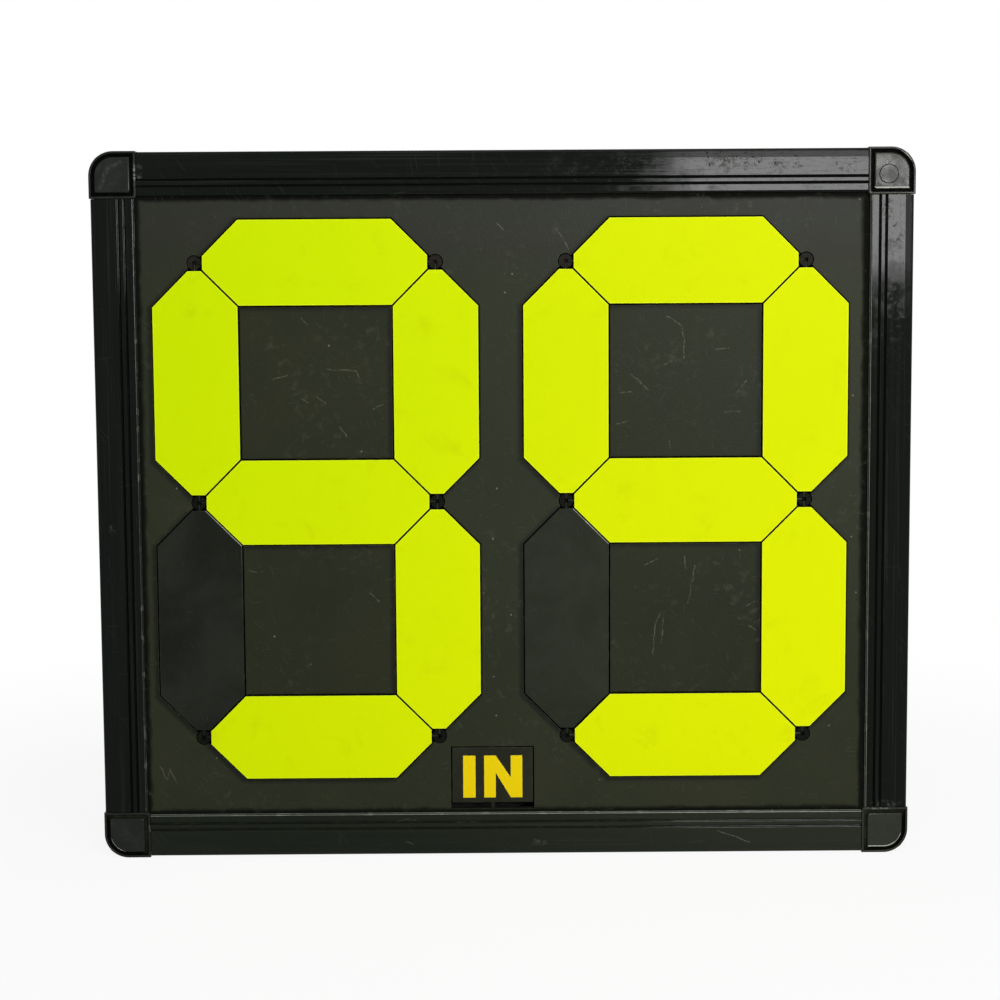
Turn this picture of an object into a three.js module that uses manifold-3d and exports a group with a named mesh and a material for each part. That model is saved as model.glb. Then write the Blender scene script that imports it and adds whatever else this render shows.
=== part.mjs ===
// Substitution board: two seven-flap digits and a small turning badge in a shallow framed case.
// Units are millimetres. +X is to the right of someone who reads the board, +Y runs from the
// front to the back, and +Z is up. The origin is under the middle of the board, on the floor.

import * as THREE from 'three';
import { mergeVertices } from 'three/addons/utils/BufferGeometryUtils.js';
import Module from 'manifold-3d';

const wasm = await Module();
wasm.setup();

// Overall sizes over the flat sides of the rails. The length of the flaps follows from them.
const boardWidth = 500;
const boardHeight = 435;

// Flaps: seven to a digit, on pivot lines that cross where four tips meet
const flapWidth = 52.2;
const miterGap = 0.85; // between the slanted ends of neighbouring flaps
const tipGap = 0.55; // between a tip and the bearing post that it points at
const plateThickness = 4;
const filmThickness = 0.3;
const filmInset = 0.15;
const adhesive = 0.05;
const flapProud = 1; // how far the films stand out in front of the panel

// Panel left round the digits, from their flaps to the rails and to each other
const stripBetweenDigits = 27.3;
const marginLeft = 9.45;
const marginRight = 12.45;
const marginTop = 14.4;

// Shared clearances and steps
const seatGap = 0.3; // between a piece and the piece that carries it
const windowGap = 0.75; // between a flap and the edge of the panel or tile beside it
const windowTipGap = 1.5; // between the tip of a flap and the end of its window
const swingRoom = 5.05; // between the widest turning piece, edge on, and the rear cover
const overrun = 1; // how far a cutting shape runs past the surface that it opens
const mergeTolerance = 0.0001;
const roundSteps = 12; // sides of a small round piece
const holeSteps = 24; // sides of a round hole
const arcSteps = 8; // steps of a quarter-round edge
const quarterTurn = Math.PI / 2;
const halfTurn = Math.PI;

// Rail section, measured inward from the outer side and backward from the front face
const railWall = 2;
const railFrontWall = 3; // behind the grooved face
const railSlope = 5.4; // outer band that leans back a little towards the side
const railSlopeDrop = 0.6;
const railEdge = 2; // radius of the outer front edge
const railBroadFace = 16.2;
const railGroove = 1.3; // two grooves with a ridge between them
const railGrooveDepth = 1.8;
const railRidge = 2.5;
const railRidgeDrop = 0.2;
const railBand = 5.2; // from the second groove to the inner edge
const railBandDrop = 0.4;
const railLip = 1;
const railLipDrop = 1.2;
const railWeb = 1.5; // wall between the tube of the rail and its panel slot
const slotGrip = 8; // how far the panel runs in under the rail
const slotBackLip = 6;

// Front panel, which the badge lies flush with
const panelRecess = 3; // panel face below the rail face
const panelWeb = 0.95; // panel left behind the bores for the pins of the badge

const junctionLap = 0.2; // how far the hole at a crossing takes in the corners between the windows

// Pivot pins moulded on the tips of the flaps, and the snap-in bearing posts that hold them
const pinRadius = 1;
const bearingGap = 0.25;
const bearingLip = 0.3; // how far the bearing closes over the pin
const bearingSnap = 0.3; // how much narrower than the pin the mouth of the bearing is
const postRadius = 4.2;
const postFootRadius = 7;
const postFoot = 2;
const postFillet = 1.5;

// Rear cover and what stands on it
const coverThickness = 2.5;
const pedestalInset = 15.9; // from the edge of a tile to the end of the rib under it
const pedestalRib = 5;
const pedestalHub = 5;
const stripSpacerWidth = 10;
const stripSpacerEnd = 21.7; // from the outer pivot lines to the ends of the spacer

// Corner caps
const capLap = 1.5; // how far a cap runs on past the inner edge of the rails
const capProud = 0.5; // past the outer sides of the rails
const capFrontProud = 0.4;
const capRadius = 15;
const capInnerRadius = 1.5;
const capRim = 1.4;
const capMoat = 2.1;
const capMoatDepth = 2.3;
const capWall = 3;
const capFrontWall = 12;
const tongueLength = 20;

// Round mark moulded into the upper right cap
const markRadius = 6;
const markGroove = 0.5;
const markInset = 15.8; // from the outer sides of the rails to its middle

// Countersunk holes for the screws of the rear cover
const screwHole = 1.8;
const screwHead = 3.4;
const screwHeadDepth = 1.6;
const screwPilot = 10; // depth of the pilot holes in the pedestals
const screwInset = 9; // from the outer side of the rail
const screwCorner = 73; // from the end of a side to its first screw
const screwsAcross = 4;
const screwsUp = 3;

// Badge between the digits, over the bottom rail
const badgeWidth = 50.2;
const badgeHeight = 34.8;
const badgeThickness = 4;
const badgeShift = -6.8; // from the middle between the digits
const badgeRise = 5.7; // above the inner edge of the bottom rail
const badgeSideGap = 0.8;
const badgeTopGap = 0.8;
const badgeBottomGap = 3.8;
const badgeHeadroom = 6.8; // from the window of the badge up to the lowest pivot line
const badgePinRadius = 1.4;
const badgePinInPanel = 5;

// Values worked out from the sizes above. The pitches are those of the pivot lines in a digit.
const halfWidth = boardWidth / 2;
const halfHeight = boardHeight / 2;
const railFace = railBroadFace + railGroove * 2 + railRidge + railBand;
const capSize = railFace + capLap;
const marginBottom = badgeRise + badgeHeight + badgeTopGap + badgeHeadroom - flapWidth / 2;
const pitchAcross = halfWidth - railFace - flapWidth - (marginLeft + marginRight + stripBetweenDigits) / 2;
const pitchUp = halfHeight - railFace - (flapWidth + marginTop + marginBottom) / 2;
const digitSpacing = pitchAcross + flapWidth + stripBetweenDigits;
const digitShift = (marginLeft - marginRight) / 2;
const digitRise = (marginBottom - marginTop) / 2;
const tipReach = postRadius + tipGap; // from a crossing to the tips round it
const flapTip = (tipReach - miterGap / Math.SQRT2) * 2; // width of the blunt tips
const junctionHole = (tipReach - windowTipGap) * Math.SQRT2 + junctionLap;
const tileWidth = pitchAcross - flapWidth - windowGap * 2;
const tileHeight = pitchUp - flapWidth - windowGap * 2;
const plateHalf = plateThickness / 2;
const flapHalfThickness = plateHalf + adhesive + filmThickness;
const flapAxis = panelRecess + flapHalfThickness - flapProud;
const badgeAxis = panelRecess + badgeThickness / 2 + adhesive + filmThickness;
const badgeBore = badgePinRadius + seatGap;
const panelBack = badgeAxis + badgeBore + panelWeb;
const coverFront = Math.max(flapAxis + flapWidth / 2, badgeAxis + badgeWidth / 2) + swingRoom;
const boardDepth = coverFront + coverThickness;
const badgeMiddle = digitShift + badgeShift;
const badgeMiddleHeight = railFace + badgeRise + badgeHeight / 2 - halfHeight;

const railFinish = { color: 0x1c201e, roughness: 0.22, metalness: 0.1 };
const capFinish = { color: 0x1e211f, roughness: 0.26, metalness: 0 };
const panelFinish = { color: 0x33332c, roughness: 0.5, metalness: 0 };
const caseFinish = { color: 0x20221f, roughness: 0.6, metalness: 0 };
const plateFinish = { color: 0x262924, roughness: 0.42, metalness: 0 };
const filmFinish = { color: 0xd4ea00, roughness: 0.5, metalness: 0 };

// Shapes and solids

function outline(points) {
  return new THREE.Shape(points.map(([across, up]) => new THREE.Vector2(across, up)));
}

function rectangle(width, height, across = 0, up = 0) {
  const side = width / 2;
  const top = height / 2;
  return outline([
    [across - side, up - top],
    [across + side, up - top],
    [across + side, up + top],
    [across - side, up + top],
  ]);
}

// A shape drawn as it is seen from the front, made solid from one depth to another.
function slab(shape, front, back) {
  const thickness = back - front;
  const geometry = new THREE.ExtrudeGeometry(shape, {
    depth: thickness, bevelEnabled: false, curveSegments: arcSteps,
  });
  geometry.rotateX(quarterTurn);
  geometry.translate(0, back, 0);
  return geometry;
}

// A round bar along the depth of the board.
function depthBar(radius, front, back, across, up, sides = roundSteps) {
  const geometry = new THREE.CylinderGeometry(radius, radius, back - front, sides);
  geometry.translate(across, (front + back) / 2, up);
  return geometry;
}

// A round bar that stands upright.
function uprightBar(radius, bottom, top, sides = roundSteps) {
  const geometry = new THREE.CylinderGeometry(radius, radius, top - bottom, sides);
  geometry.rotateX(quarterTurn);
  geometry.translate(0, 0, (bottom + top) / 2);
  return geometry;
}

// A shape turned about the depth of the board, from pairs of radius and depth.
function turned(profile, sides = roundSteps) {
  return new THREE.LatheGeometry(profile.map(([radius, along]) => new THREE.Vector2(radius, along)), sides);
}

function solidOf(geometry) {
  const bare = geometry.clone();
  bare.deleteAttribute('normal');
  bare.deleteAttribute('uv');
  const merged = mergeVertices(bare, mergeTolerance);
  return new wasm.Manifold(new wasm.Mesh({
    numProp: 3,
    vertProperties: new Float32Array(merged.attributes.position.array),
    triVerts: new Uint32Array(merged.index.array),
  }));
}

function geometryOf(solid) {
  const mesh = solid.getMesh();
  const geometry = new THREE.BufferGeometry();
  geometry.setAttribute('position', new THREE.BufferAttribute(mesh.vertProperties, 3));
  geometry.setIndex(new THREE.BufferAttribute(mesh.triVerts, 1));
  geometry.computeVertexNormals();
  return geometry;
}

function cut(geometry, tools) {
  return geometryOf(tools.reduce((rest, tool) => rest.subtract(solidOf(tool)), solidOf(geometry)));
}

function join(geometries) {
  const [first, ...others] = geometries.map(solidOf);
  return geometryOf(others.reduce((whole, next) => whole.add(next), first));
}

function piece(name, geometry, finish) {
  const mesh = new THREE.Mesh(geometry, new THREE.MeshStandardMaterial(finish));
  mesh.name = name;
  return mesh;
}

// Places that repeat

const digits = [
  { name: 'tens', across: digitShift - digitSpacing / 2 },
  { name: 'units', across: digitShift + digitSpacing / 2 },
];

// Each flap's place as steps of half a pitch from the middle of its digit. The flap that shows
// its black side in the reading 99 carries its film at the back.
const flapsOfDigit = [
  { name: 'top', column: 0, row: 2 },
  { name: 'upper_left', column: -1, row: 1 },
  { name: 'upper_right', column: 1, row: 1 },
  { name: 'middle', column: 0, row: 0 },
  { name: 'lower_left', column: -1, row: -1, turned: true },
  { name: 'lower_right', column: 1, row: -1 },
  { name: 'bottom', column: 0, row: -2 },
];

const flapPlaces = digits.flatMap((digit) => flapsOfDigit.map(({ name, column, row, turned }) => ({
  name: `${digit.name}_${name}`,
  turned,
  pitch: column === 0 ? pitchAcross : pitchUp,
  turn: column === 0 ? quarterTurn : 0,
  across: digit.across + column * pitchAcross / 2,
  up: digitRise + row * pitchUp / 2,
})));

const tilePlaces = digits.flatMap((digit) => [
  { name: `${digit.name}_upper`, across: digit.across, up: digitRise + pitchUp / 2 },
  { name: `${digit.name}_lower`, across: digit.across, up: digitRise - pitchUp / 2 },
]);

const crossings = digits.flatMap((digit) => ['left', 'right'].flatMap((sideName, column) => (
  ['bottom', 'middle', 'top'].map((levelName, row) => ({
    name: `${digit.name}_${sideName}_${levelName}`,
    flapBelow: row > 0,
    flapAbove: row < 2,
    flapRight: sideName === 'left',
    across: digit.across + (column - 0.5) * pitchAcross,
    up: digitRise + (row - 1) * pitchUp,
  }))
)));

// Places along one side, spread evenly between its two corners.
function railScrews(count, halfRun) {
  const reach = halfRun - screwCorner;
  return Array.from({ length: count }, (_, index) => (index / (count - 1) * 2 - 1) * reach);
}

const screwsAlongWidth = railScrews(screwsAcross, halfWidth);
const screwsAlongHeight = railScrews(screwsUp, halfHeight);

const screwPlaces = [
  ...[-1, 1].flatMap((side) => [
    ...screwsAlongWidth.map((across) => [across, side * (halfHeight - screwInset)]),
    ...screwsAlongHeight.map((up) => [side * (halfWidth - screwInset), up]),
  ]),
  ...tilePlaces.map((tile) => [tile.across, tile.up]),
];

// Frame rails: a closed tube with a flange over the panel's edge and a slot behind it

function railSection(halfSpan) {
  const flangeBack = panelRecess - seatGap;
  const slotBottom = railFace - slotGrip - seatGap;
  const slotBack = panelBack + seatGap;
  const tubeBack = coverFront - seatGap;
  const grooveOne = railBroadFace + railGroove;
  const ridgeEnd = grooveOne + railRidge;
  const grooveTwo = ridgeEnd + railGroove;
  const shape = new THREE.Shape();
  const at = (inward, depth) => [inward - halfSpan, -depth];
  shape.moveTo(...at(0, boardDepth));
  shape.lineTo(...at(railWall, boardDepth));
  shape.lineTo(...at(railWall, tubeBack));
  shape.lineTo(...at(slotBottom - railWeb, tubeBack));
  shape.lineTo(...at(slotBottom - railWeb, slotBack + railWeb));
  shape.lineTo(...at(slotBottom + slotBackLip, slotBack + railWeb));
  shape.lineTo(...at(slotBottom + slotBackLip, slotBack));
  shape.lineTo(...at(slotBottom, slotBack));
  shape.lineTo(...at(slotBottom, flangeBack));
  shape.lineTo(...at(railFace, flangeBack));
  shape.lineTo(...at(railFace, railLipDrop));
  shape.lineTo(...at(railFace - railLip, railBandDrop));
  shape.lineTo(...at(grooveTwo, railBandDrop));
  shape.lineTo(...at(grooveTwo, railGrooveDepth));
  shape.lineTo(...at(ridgeEnd, railGrooveDepth));
  shape.lineTo(...at(ridgeEnd, railRidgeDrop));
  shape.lineTo(...at(grooveOne, railRidgeDrop));
  shape.lineTo(...at(grooveOne, railGrooveDepth));
  shape.lineTo(...at(railBroadFace, railGrooveDepth));
  shape.lineTo(...at(railBroadFace, 0));
  shape.lineTo(...at(railSlope, 0));
  shape.lineTo(...at(railEdge, railSlopeDrop));
  shape.absarc(...at(railEdge, railSlopeDrop + railEdge), railEdge, quarterTurn, halfTurn, false);
  shape.closePath();

  const tube = rectangleBetween(
    at(railWall, tubeBack - railWall), at(slotBottom - railWeb * 2, railFrontWall),
  );
  shape.holes.push(tube);
  return shape;
}

function rectangleBetween([left, bottom], [right, top]) {
  return rectangle(right - left, top - bottom, (left + right) / 2, (bottom + top) / 2);
}

// One rail, made where the left rail is and turned about the middle of the board.
function rail(name, halfSpan, halfRun, quarters, screws) {
  const length = (halfRun - capSize - seatGap) * 2;
  const bar = new THREE.ExtrudeGeometry(railSection(halfSpan), {
    depth: length, bevelEnabled: false, curveSegments: arcSteps,
  });
  // The section's downward direction becomes the depth of the board.
  bar.rotateX(halfTurn);
  bar.translate(0, 0, length / 2);
  const holes = screws.map((along) => depthBar(
    screwHole, coverFront - seatGap - railWall - overrun, coverFront + overrun,
    screwInset - halfSpan, along,
  ));
  const mesh = piece(name, cut(bar, holes), railFinish);
  mesh.rotation.y = quarters * quarterTurn;
  return mesh;
}

// Corner caps

// The cap as seen from the front at the lower left corner, its sides drawn in by an inset.
function capOutline(inset) {
  const low = -capProud + inset;
  const high = capSize - inset;
  const outer = capRadius - inset;
  const inner = capInnerRadius;
  const shape = new THREE.Shape();
  shape.moveTo(low + outer, low);
  shape.lineTo(high, low);
  shape.lineTo(high, high - inner);
  shape.absarc(high - inner, high - inner, inner, 0, quarterTurn, false);
  shape.lineTo(low, high);
  shape.lineTo(low, low + outer);
  shape.absarc(low + outer, low + outer, outer, halfTurn, halfTurn + quarterTurn, false);
  return shape;
}

function capTongue(alongRail) {
  const low = railWall + seatGap;
  const high = railFace - slotGrip - seatGap - railWeb * 2 - seatGap;
  const root = capSize - capWall;
  const end = capSize + tongueLength;
  const shape = alongRail
    ? rectangleBetween([root, low], [end, high])
    : rectangleBetween([low, root], [high, end]);
  return slab(shape, railFrontWall + seatGap, coverFront - seatGap - railWall - seatGap);
}

function coverOutline(grow) {
  const edge = railWall + seatGap - grow;
  const centre = capRadius - capProud;
  const radius = centre - edge;
  const side = halfWidth - centre;
  const top = halfHeight - centre;
  const shape = new THREE.Shape();
  shape.absarc(side, top, radius, 0, quarterTurn, false);
  shape.absarc(-side, top, radius, quarterTurn, halfTurn, false);
  shape.absarc(-side, -top, radius, halfTurn, halfTurn + quarterTurn, false);
  shape.absarc(side, -top, radius, halfTurn + quarterTurn, halfTurn * 2, false);
  return shape;
}

function capBody() {
  const solid = join([
    slab(capOutline(0), -capFrontProud, boardDepth), capTongue(true), capTongue(false),
  ]);
  const moat = capOutline(capRim);
  moat.holes.push(capOutline(capRim + capMoat));
  const panelCorner = railFace - slotGrip - seatGap;
  const past = capSize + overrun;
  const cover = coverOutline(seatGap);
  const coverNotch = slab(cover, coverFront - seatGap, boardDepth + overrun);
  coverNotch.translate(halfWidth, 0, halfHeight);
  return cut(solid, [
    slab(moat, -capFrontProud - overrun, capMoatDepth - capFrontProud),
    slab(
      rectangleBetween([panelCorner, panelCorner], [past, past]), panelRecess - seatGap, panelBack + seatGap,
    ),
    slab(capOutline(capWall), capFrontWall, boardDepth),
    coverNotch,
  ]);
}

// One cap, made at the lower left corner and turned to its own.
function cap(name, side, end, quarters, tools = []) {
  const mesh = piece(name, tools.length ? cut(capBody(), tools) : capBody(), capFinish);
  mesh.position.set(side * halfWidth, 0, end * halfHeight);
  mesh.rotation.y = quarters * quarterTurn;
  return mesh;
}

function roundMark() {
  const ring = new THREE.Shape().absarc(markInset, markInset, markRadius, 0, halfTurn * 2, false);
  const island = new THREE.Path();
  island.absarc(markInset, markInset, markRadius - markGroove, 0, halfTurn * 2, false);
  ring.holes.push(island);
  return slab(ring, -capFrontProud - overrun, markGroove - capFrontProud);
}

function buildFrame() {
  return [
    rail('rail_left', halfWidth, halfHeight, 0, screwsAlongHeight),
    rail('rail_top', halfHeight, halfWidth, 1, screwsAlongWidth),
    rail('rail_right', halfWidth, halfHeight, 2, screwsAlongHeight),
    rail('rail_bottom', halfHeight, halfWidth, 3, screwsAlongWidth),
    cap('cap_bottom_left', -1, -1, 0),
    cap('cap_top_left', -1, 1, 1),
    cap('cap_top_right', 1, 1, 2, [roundMark()]),
    cap('cap_bottom_right', 1, -1, 3),
  ];
}

// Flaps: a black plate with a pin moulded on each tip and a bright film on one face

// The outline of an upright flap between crossings a pitch apart, with its sides and tips moved out.
function flapOutline(pitch, grow, growTip = grow) {
  const side = flapWidth / 2 + grow;
  const end = pitch / 2 - tipReach + growTip;
  const tip = flapTip / 2 + grow * Math.SQRT2 - growTip;
  const shoulder = end - (side - tip);
  return [
    [-tip, -end], [tip, -end], [side, -shoulder], [side, shoulder],
    [tip, end], [-tip, end], [-side, shoulder], [-side, -shoulder],
  ];
}

function flapPlate(pitch) {
  // The pins stop where they clear the pins of the neighbouring flaps.
  const pinEnd = pitch / 2 - pinRadius - seatGap;
  return join([
    slab(outline(flapOutline(pitch, 0)), -plateHalf, plateHalf),
    uprightBar(pinRadius, -pinEnd, pinEnd),
  ]);
}

function flapFilm(pitch, turned) {
  const inner = plateHalf + adhesive;
  const outer = inner + filmThickness;
  const shape = outline(flapOutline(pitch, -filmInset));
  return turned ? slab(shape, inner, outer) : slab(shape, -outer, -inner);
}

function buildFlaps() {
  return flapPlaces.map(({ name, turned, pitch, turn, across, up }) => {
    const flap = new THREE.Group();
    flap.position.set(across, flapAxis, up);
    flap.rotation.y = turn;
    flap.add(piece(`${name}_plate`, flapPlate(pitch), plateFinish));
    flap.add(piece(`${name}_film`, flapFilm(pitch, turned), filmFinish));
    return flap;
  });
}

// Bearing posts: each stands under a crossing of pivot lines and takes the pins from its sides

function bearingCuts(horizontal, from, to) {
  const radius = pinRadius + bearingGap;
  const mouthFront = -pinRadius - bearingLip - overrun;
  const mouthWidth = pinRadius * 2 - bearingSnap;
  const mouth = slab(rectangle(mouthWidth, to - from, 0, (from + to) / 2), mouthFront, 0);
  return [uprightBar(radius, from, to), mouth].map((tool) => {
    if (horizontal) tool.rotateY(quarterTurn);
    return tool;
  });
}

function bearingPost({ name, flapBelow, flapAbove, flapRight, across, up }) {
  const past = postRadius + overrun;
  const inner = pinRadius + bearingGap;
  const foot = coverFront - seatGap - flapAxis;
  const body = turned([
    [0, -pinRadius - bearingLip],
    [postRadius, -pinRadius - bearingLip],
    [postRadius, foot - postFoot - postFillet],
    [postRadius + postFillet, foot - postFoot],
    [postFootRadius, foot - postFoot],
    [postFootRadius, foot],
    [0, foot],
  ], holeSteps);
  const upright = [flapBelow ? -past : -inner, flapAbove ? past : inner];
  const sideways = flapRight ? [-inner, past] : [-past, inner];
  const geometry = cut(body, [...bearingCuts(false, ...upright), ...bearingCuts(true, ...sideways)]);
  geometry.translate(across, flapAxis, up);
  return piece(`${name}_post`, geometry, caseFinish);
}

// Front panel with a window round each digit and one for the badge

function badgeWindow() {
  const bottom = badgeMiddleHeight - badgeHeight / 2 - badgeBottomGap;
  const top = badgeMiddleHeight + badgeHeight / 2 + badgeTopGap;
  const side = badgeWidth / 2 + badgeSideGap;
  return rectangleBetween([badgeMiddle - side, bottom], [badgeMiddle + side, top]);
}

function buildPanel() {
  const width = (halfWidth - railFace + slotGrip) * 2;
  const height = (halfHeight - railFace + slotGrip) * 2;
  const front = panelRecess - overrun;
  const back = panelBack + overrun;
  const windows = flapPlaces.map(({ pitch, turn, across, up }) => {
    const window = slab(outline(flapOutline(pitch, windowGap, windowTipGap)), front, back);
    window.rotateY(turn);
    window.translate(across, 0, up);
    return window;
  });
  const roundHoles = crossings.map(({ across, up }) => (
    depthBar(junctionHole, front, back, across, up, holeSteps)
  ));
  const tileOpenings = tilePlaces.map((tile) => slab(
    rectangle(pitchAcross - flapWidth, pitchUp - flapWidth, tile.across, tile.up), front, back,
  ));
  const pinBores = uprightBar(
    badgeBore,
    -badgeHeight / 2 - badgeBottomGap - badgePinInPanel - seatGap,
    badgeHeight / 2 + badgeTopGap + badgePinInPanel + seatGap,
  );
  pinBores.translate(badgeMiddle, badgeAxis, badgeMiddleHeight);
  return piece('front_panel', cut(
    slab(rectangle(width, height), panelRecess, panelBack),
    [...windows, ...roundHoles, ...tileOpenings, slab(badgeWindow(), front, back), pinBores],
  ), panelFinish);
}

// Tiles inside the digits, and what carries them and the strip between the digits

function buildTiles() {
  return tilePlaces.map((tile) => piece(
    `${tile.name}_tile`,
    slab(rectangle(tileWidth, tileHeight, tile.across, tile.up), panelRecess, panelBack),
    panelFinish,
  ));
}

function buildPedestals() {
  const reachAcross = tileWidth - pedestalInset * 2;
  const reachUp = tileHeight - pedestalInset * 2;
  const front = panelBack + seatGap;
  const back = coverFront - seatGap;
  return tilePlaces.map(({ name, across, up }) => {
    const body = join([
      slab(rectangle(reachAcross, pedestalRib, across, up), front, back),
      slab(rectangle(pedestalRib, reachUp, across, up), front, back),
      depthBar(pedestalHub, front, back, across, up),
    ]);
    const pilot = depthBar(screwHole, back - screwPilot, back + overrun, across, up);
    return piece(`${name}_pedestal`, cut(body, [pilot]), caseFinish);
  });
}

function buildStripSpacer() {
  const length = (pitchUp - stripSpacerEnd) * 2;
  const shape = rectangle(stripSpacerWidth, length, digitShift, digitRise);
  return piece('strip_spacer', slab(shape, panelBack + seatGap, coverFront - seatGap), caseFinish);
}

// Rear cover

function buildCover() {
  const sink = turned([
    [0, coverFront - overrun],
    [screwHole, coverFront - overrun],
    [screwHole, boardDepth - screwHeadDepth],
    [screwHead, boardDepth],
    [screwHead, boardDepth + overrun],
    [0, boardDepth + overrun],
  ]);
  const sinks = screwPlaces.map(([across, up]) => sink.clone().translate(across, 0, up));
  return piece('rear_cover', cut(slab(coverOutline(0), coverFront, boardDepth), sinks), caseFinish);
}

// Badge: a plate that turns on two upright pins

function buildBadge() {
  const half = badgeThickness / 2;
  const top = badgeHeight / 2;
  const plate = join([
    slab(rectangle(badgeWidth, badgeHeight), -half, half),
    uprightBar(
      badgePinRadius, -top - badgeBottomGap - badgePinInPanel, top + badgeTopGap + badgePinInPanel,
    ),
  ]);
  plate.translate(badgeMiddle, badgeAxis, badgeMiddleHeight);
  return piece('badge_plate', plate, plateFinish);
}

// Everything inside is placed from the middle of the rails' front face.
const board = new THREE.Group();
board.position.set(0, (capFrontProud - boardDepth) / 2, halfHeight + capProud);
board.add(
  ...buildFrame(),
  buildPanel(),
  ...buildTiles(),
  ...buildPedestals(),
  buildStripSpacer(),
  ...crossings.map(bearingPost),
  buildCover(),
  ...buildFlaps(),
  buildBadge(),
);

const substitutionBoard = new THREE.Group();
substitutionBoard.add(board);

export default substitutionBoard;
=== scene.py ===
"""Looks of the substitution board: softened mouldings, coatings, films, letters, screws and the studio."""

import math

import bmesh
import bpy
from mathutils import Matrix, Vector


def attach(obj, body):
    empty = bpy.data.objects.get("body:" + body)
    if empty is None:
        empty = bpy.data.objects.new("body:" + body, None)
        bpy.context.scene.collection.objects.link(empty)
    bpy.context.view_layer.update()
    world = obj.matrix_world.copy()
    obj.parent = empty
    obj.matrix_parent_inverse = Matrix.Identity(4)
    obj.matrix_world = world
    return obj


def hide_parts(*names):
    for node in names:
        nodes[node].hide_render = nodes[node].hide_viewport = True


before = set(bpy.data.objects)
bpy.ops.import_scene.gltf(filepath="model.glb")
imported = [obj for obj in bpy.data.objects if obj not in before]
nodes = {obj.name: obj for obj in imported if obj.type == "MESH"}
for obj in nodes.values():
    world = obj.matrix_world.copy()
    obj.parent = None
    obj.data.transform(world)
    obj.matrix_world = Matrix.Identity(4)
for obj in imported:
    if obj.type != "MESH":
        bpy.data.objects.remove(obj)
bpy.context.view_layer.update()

MM = 0.001

# Depths along Y, in metres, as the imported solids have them
CAP_FACE = -19.2 * MM
PANEL_FACE = -15.8 * MM
FLAP_AXIS = -14.45 * MM
BADGE_AXIS = -13.45 * MM
COVER_BACK = 19.2 * MM
HALF_PLATE = 2 * MM
BADGE_FRONT = BADGE_AXIS - HALF_PLATE
BADGE_BACK = BADGE_AXIS + HALF_PLATE
MOAT_DEPTHS = (-18.85 * MM, -16.6 * MM)
GROOVE_DEPTHS = (-17.1 * MM, -16.9 * MM)
SMALLEST_GROOVE = 200 * MM * MM
DEPTH_SLACK = 0.05 * MM

# Places on the board's face, in millimetres across and up
DIGITS_MIDDLE = -1.5
DIGIT_FROM_MIDDLE = 113.1
DIGITS_LEVEL = 221.8
FLAP_PITCH = 146.7
HALF_FLAP_LENGTH = 68.6
HALF_FLAP_WIDTH = 26.1
SLANTED_CORNER = 51.45
ROUND_MARK = (234.2, 419.7)
BADGE_MIDDLE = -8.3

# The photograph's camera, fitted to the corners of the frame
CAMERA_PLACE = (-0.0072, -1.2422, 0.3385)
CAMERA_AIM = (0.0037, 0.9955, -0.0942)
CAMERA_UP = (0.0066, 0.0942, 0.9955)
CAMERA_LENS = 72
CAMERA_SENSOR = 36

SHARP_EDGE = math.radians(30)
LONG_EDGE = 300 * MM

# Where the inner edges of the rails lie: closer to the middle than this across, and between these up
INNER_EDGE_ACROSS = 226 * MM
INNER_EDGE_UP = (25 * MM, 30 * MM)


# ---------------------------------------------------------------- the photograph's view

def make_camera():
    lens = bpy.data.cameras.new("view")
    lens.lens = CAMERA_LENS
    lens.sensor_width = CAMERA_SENSOR
    camera = bpy.data.objects.new("view", lens)
    bpy.context.scene.collection.objects.link(camera)
    forward = Vector(CAMERA_AIM).normalized()
    right = forward.cross(Vector(CAMERA_UP)).normalized()
    up = right.cross(forward)
    turn = Matrix((right, up, -forward)).transposed().to_4x4()
    camera.matrix_world = Matrix.Translation(CAMERA_PLACE) @ turn
    bpy.context.scene.camera = camera


make_camera()


# ---------------------------------------------------------------- nodes of materials

def shade(red, green, blue):
    """A colour as it looks on a screen, 0 to 255, in the linear values of a shader."""
    def channel(value):
        value /= 255
        return value / 12.92 if value <= 0.04045 else ((value + 0.055) / 1.055) ** 2.4
    return channel(red), channel(green), channel(blue), 1


def put(tree, kind, sockets=None, **settings):
    """A new node with its settings, and with values or links on its inputs."""
    node = tree.nodes.new(kind)
    for name, value in settings.items():
        setattr(node, name, value)
    for name, value in (sockets or {}).items():
        if isinstance(value, bpy.types.NodeSocket):
            tree.links.new(value, node.inputs[name])
        else:
            node.inputs[name].default_value = value
    return node


def maths(tree, operation, first, second=0.5, clamp=False):
    return put(tree, "ShaderNodeMath", {0: first, 1: second}, operation=operation, use_clamp=clamp).outputs[0]


def vector_maths(tree, operation, *vectors, scale=None):
    """Maths on vectors; a length, distance or dot product comes out as one value."""
    sockets = dict(enumerate(vectors))
    if scale is not None:
        sockets["Scale"] = scale
    node = put(tree, "ShaderNodeVectorMath", sockets, operation=operation)
    return node.outputs["Value" if operation in ("LENGTH", "DISTANCE", "DOT_PRODUCT") else "Vector"]


def gathered(tree, operation, *masks):
    """Masks brought together by one operation. A mask that comes with an amount is first multiplied by it."""
    total = None
    for mask in masks:
        if isinstance(mask, tuple):
            mask = maths(tree, "MULTIPLY", *mask)
        total = mask if total is None else maths(tree, operation, total, mask)
    return total


def height_on(tree, place):
    return put(tree, "ShaderNodeSeparateXYZ", {"Vector": place}).outputs["Z"]


def ramp(tree, value, low, high, to_low=0, to_high=1, smooth=False):
    kind = "SMOOTHSTEP" if smooth else "LINEAR"
    return put(tree, "ShaderNodeMapRange", {
        "Value": value, "From Min": low, "From Max": high, "To Min": to_low, "To Max": to_high,
    }, interpolation_type=kind).outputs["Result"]


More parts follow.
